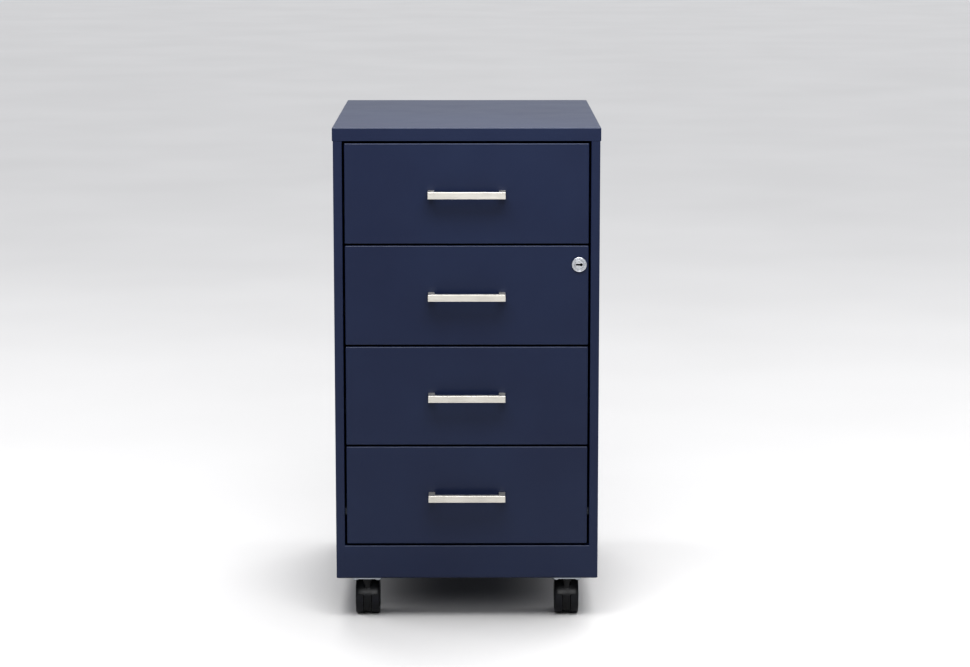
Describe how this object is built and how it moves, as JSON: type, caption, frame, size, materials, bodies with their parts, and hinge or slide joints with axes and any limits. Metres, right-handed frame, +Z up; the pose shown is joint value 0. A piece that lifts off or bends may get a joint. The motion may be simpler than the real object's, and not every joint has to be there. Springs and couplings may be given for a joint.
{
  "type": "filing cabinet",
  "caption": "Narrow mobile filing cabinet in folded sheet steel, with sliding drawers, bar handles, a cam lock and swivel twin-wheel casters.",
  "frame": {"origin": "on the floor, under the middle of the bounding box of the cabinet and its handles", "axes": "+Z up, -Y out of the drawer fronts, +X to the right of someone facing the drawers"},
  "size_m": [0.362, 0.482, 0.683],
  "materials": {
    "cabinet_paint": "navy powder coat, fine orange peel, satin gloss",
    "drawer_paint": "navy powder coat, a little duller than the outside",
    "handle_nickel": "satin nickel plate, fine brushing along the bar",
    "runner_zinc": "bright zinc plate",
    "lock_chrome": "chrome plate",
    "caster_nylon": "black moulded nylon, glossy"
  },
  "bodies": {
    "cabinet": {"cabinet_top": "cabinet_paint", "left_side_panel": "cabinet_paint", "right_side_panel": "cabinet_paint", "back_panel": "cabinet_paint", "base_pan": "cabinet_paint", "base_rail": "cabinet_paint", "cabinet_rail_left_1": "runner_zinc", "cabinet_rail_right_1": "runner_zinc", "cabinet_rail_left_2": "runner_zinc", "cabinet_rail_right_2": "runner_zinc", "cabinet_rail_left_3": "runner_zinc", "cabinet_rail_right_3": "runner_zinc", "cabinet_rail_left_4": "runner_zinc", "cabinet_rail_right_4": "runner_zinc", "front_left_caster_plate": "runner_zinc", "front_right_caster_plate": "runner_zinc", "rear_left_caster_plate": "runner_zinc", "rear_right_caster_plate": "runner_zinc"},
    "drawer_1": {"drawer_front_1": "cabinet_paint", "drawer_tray_1": "drawer_paint", "drawer_handle_1": "handle_nickel", "drawer_rail_left_1": "runner_zinc", "drawer_rail_right_1": "runner_zinc"},
    "drawer_2": {"drawer_front_2": "cabinet_paint", "drawer_tray_2": "drawer_paint", "drawer_handle_2": "handle_nickel", "drawer_rail_left_2": "runner_zinc", "drawer_rail_right_2": "runner_zinc", "lock_housing": "lock_chrome", "lock_nut": "lock_chrome"},
    "drawer_3": {"drawer_front_3": "cabinet_paint", "drawer_tray_3": "drawer_paint", "drawer_handle_3": "handle_nickel", "drawer_rail_left_3": "runner_zinc", "drawer_rail_right_3": "runner_zinc"},
    "drawer_4": {"drawer_front_4": "cabinet_paint", "drawer_tray_4": "drawer_paint", "drawer_handle_4": "handle_nickel", "drawer_rail_left_4": "runner_zinc", "drawer_rail_right_4": "runner_zinc"},
    "lock": {"lock_plug": "lock_chrome", "lock_cam": "runner_zinc", "lock_cam_screw": "runner_zinc"},
    "front_left_caster": {"front_left_caster_hood": "caster_nylon", "front_left_caster_axle": "runner_zinc"},
    "front_left_wheel_left": {"front_left_caster_wheel_left": "caster_nylon"},
    "front_left_wheel_right": {"front_left_caster_wheel_right": "caster_nylon"},
    "front_right_caster": {"front_right_caster_hood": "caster_nylon", "front_right_caster_axle": "runner_zinc"},
    "front_right_wheel_left": {"front_right_caster_wheel_left": "caster_nylon"},
    "front_right_wheel_right": {"front_right_caster_wheel_right": "caster_nylon"},
    "rear_left_caster": {"rear_left_caster_hood": "caster_nylon", "rear_left_caster_axle": "runner_zinc"},
    "rear_left_wheel_left": {"rear_left_caster_wheel_left": "caster_nylon"},
    "rear_left_wheel_right": {"rear_left_caster_wheel_right": "caster_nylon"},
    "rear_right_caster": {"rear_right_caster_hood": "caster_nylon", "rear_right_caster_axle": "runner_zinc"},
    "rear_right_wheel_left": {"rear_right_caster_wheel_left": "caster_nylon"},
    "rear_right_wheel_right": {"rear_right_caster_wheel_right": "caster_nylon"}
  },
  "joints": [
    {"name": "drawer_1_slide", "type": "slide", "parent": "cabinet", "child": "drawer_1", "axis": [0, -1, 0], "range_m": [0, 0.305]},
    {"name": "drawer_2_slide", "type": "slide", "parent": "cabinet", "child": "drawer_2", "axis": [0, -1, 0], "range_m": [0, 0.305]},
    {"name": "drawer_3_slide", "type": "slide", "parent": "cabinet", "child": "drawer_3", "axis": [0, -1, 0], "range_m": [0, 0.305]},
    {"name": "drawer_4_slide", "type": "slide", "parent": "cabinet", "child": "drawer_4", "axis": [0, -1, 0], "range_m": [0, 0.305]},
    {"name": "lock_turn", "type": "hinge", "parent": "drawer_2", "child": "lock", "pos_m": [0.1523, -0.216, 0.49745], "axis": [0, 1, 0], "range_deg": [0, 90]},
    {"name": "front_left_swivel", "type": "hinge", "parent": "cabinet", "child": "front_left_caster", "pos_m": [-0.1382, -0.19, 0.025], "axis": [0, 0, 1], "continuous": true},
    {"name": "front_left_wheel_left_spin", "type": "hinge", "parent": "front_left_caster", "child": "front_left_wheel_left", "pos_m": [-0.1382, -0.172, 0.025], "axis": [1, 0, 0], "continuous": true},
    {"name": "front_left_wheel_right_spin", "type": "hinge", "parent": "front_left_caster", "child": "front_left_wheel_right", "pos_m": [-0.1382, -0.172, 0.025], "axis": [1, 0, 0], "continuous": true},
    {"name": "front_right_swivel", "type": "hinge", "parent": "cabinet", "child": "front_right_caster", "pos_m": [0.1382, -0.19, 0.025], "axis": [0, 0, 1], "continuous": true},
    {"name": "front_right_wheel_left_spin", "type": "hinge", "parent": "front_right_caster", "child": "front_right_wheel_left", "pos_m": [0.1382, -0.172, 0.025], "axis": [1, 0, 0], "continuous": true},
    {"name": "front_right_wheel_right_spin", "type": "hinge", "parent": "front_right_caster", "child": "front_right_wheel_right", "pos_m": [0.1382, -0.172, 0.025], "axis": [1, 0, 0], "continuous": true},
    {"name": "rear_left_swivel", "type": "hinge", "parent": "cabinet", "child": "rear_left_caster", "pos_m": [-0.1382, 0.189, 0.025], "axis": [0, 0, 1], "continuous": true},
    {"name": "rear_left_wheel_left_spin", "type": "hinge", "parent": "rear_left_caster", "child": "rear_left_wheel_left", "pos_m": [-0.1382, 0.207, 0.025], "axis": [1, 0, 0], "continuous": true},
    {"name": "rear_left_wheel_right_spin", "type": "hinge", "parent": "rear_left_caster", "child": "rear_left_wheel_right", "pos_m": [-0.1382, 0.207, 0.025], "axis": [1, 0, 0], "continuous": true},
    {"name": "rear_right_swivel", "type": "hinge", "parent": "cabinet", "child": "rear_right_caster", "pos_m": [0.1382, 0.189, 0.025], "axis": [0, 0, 1], "continuous": true},
    {"name": "rear_right_wheel_left_spin", "type": "hinge", "parent": "rear_right_caster", "child": "rear_right_wheel_left", "pos_m": [0.1382, 0.207, 0.025], "axis": [1, 0, 0], "continuous": true},
    {"name": "rear_right_wheel_right_spin", "type": "hinge", "parent": "rear_right_caster", "child": "rear_right_wheel_right", "pos_m": [0.1382, 0.207, 0.025], "axis": [1, 0, 0], "continuous": true}
  ]
}
